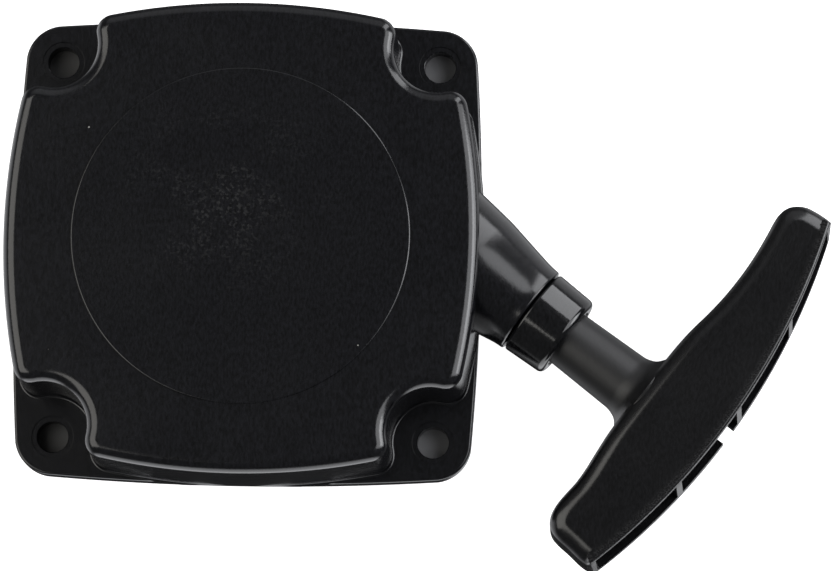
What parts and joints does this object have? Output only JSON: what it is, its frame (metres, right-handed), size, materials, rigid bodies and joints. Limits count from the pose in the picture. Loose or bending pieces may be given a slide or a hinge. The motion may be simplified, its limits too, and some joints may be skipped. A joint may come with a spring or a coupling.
{
  "type": "recoil starter",
  "caption": "Square closed recoil starter with corner fixing holes, a sprung rope reel with pawls under the cover, a side rope outlet and a T-handle.",
  "frame": {"origin": "centre of the four fixing holes, on the flange's engine face", "axes": "+Z along the reel's axis, away from the engine; +X towards the side with the rope outlet; +Y towards the side where the rope leaves the reel"},
  "size_m": [0.1615, 0.1094, 0.0255],
  "materials": {
    "case_black": "moulded satin gloss, black",
    "guide_black": "moulded gloss, black",
    "grip_black": "moulded satin, black",
    "reel_plastic": "glass-filled nylon, dark grey",
    "rope_white": "braided polyester rope",
    "spring_steel": "blued strip",
    "zinc_steel": "zinc plated",
    "hard_steel": "hardened, oiled",
    "bush_brass": "brass"
  },
  "bodies": {
    "housing": {"starter_case": "case_black", "rope_guide": "guide_black", "spring_cover": "zinc_steel", "spring_cover_screw_1": "zinc_steel", "spring_cover_screw_2": "zinc_steel", "spring_cover_screw_3": "zinc_steel", "recoil_spring": "spring_steel", "friction_spring": "spring_steel", "centre_washer": "zinc_steel", "centre_screw": "zinc_steel"},
    "reel": {"rope_reel": "reel_plastic", "reel_bush": "bush_brass", "rope_winding": "rope_white", "reel_knot": "rope_white", "pawl_pin_a": "hard_steel", "pawl_pin_b": "hard_steel", "return_spring": "spring_steel"},
    "pawl_a": {"pawl_a": "hard_steel"},
    "pawl_b": {"pawl_b": "hard_steel"},
    "guide": {"ratchet_guide": "zinc_steel"},
    "handle": {"handle_grip": "grip_black", "handle_washer": "zinc_steel", "handle_knot": "rope_white", "rope_run": "rope_white"}
  },
  "joints": [
    {"name": "handle_pull", "type": "slide", "parent": "housing", "child": "handle", "axis": [0.8018, -0.5976, 0], "range_m": [0, 0.7], "stiffness_N_per_m": 12, "springref_m": -0.35, "deforming": ["rope_run"]},
    {"name": "reel_spin", "type": "hinge", "parent": "housing", "child": "reel", "pos_m": [0, 0, 0], "axis": [0, 0, -1], "range_deg": [0, 1710], "deforming": ["recoil_spring"]},
    {"name": "pawl_a_swing", "type": "hinge", "parent": "reel", "child": "pawl_a", "pos_m": [0, 0.0125, 0], "axis": [0, 0, 1], "range_deg": [0, 30], "stiffness_Nm_per_rad": 0.02, "springref_deg": -17.19, "deforming": ["return_spring"]},
    {"name": "pawl_b_swing", "type": "hinge", "parent": "reel", "child": "pawl_b", "pos_m": [0, -0.0125, 0], "axis": [0, 0, 1], "range_deg": [0, 30]},
    {"name": "guide_turn", "type": "hinge", "parent": "reel", "child": "guide", "pos_m": [0, 0, 0], "axis": [0, 0, 1], "range_deg": [0, 40]}
  ],
  "couplings": [
    {"joint": "reel_spin", "follows": "handle_pull", "rad_per_m": 42.553},
    {"joint": "pawl_b_swing", "follows": "pawl_a_swing", "ratio": 1},
    {"joint": "guide_turn", "follows": "pawl_a_swing", "ratio": 1.3333}
  ]
}
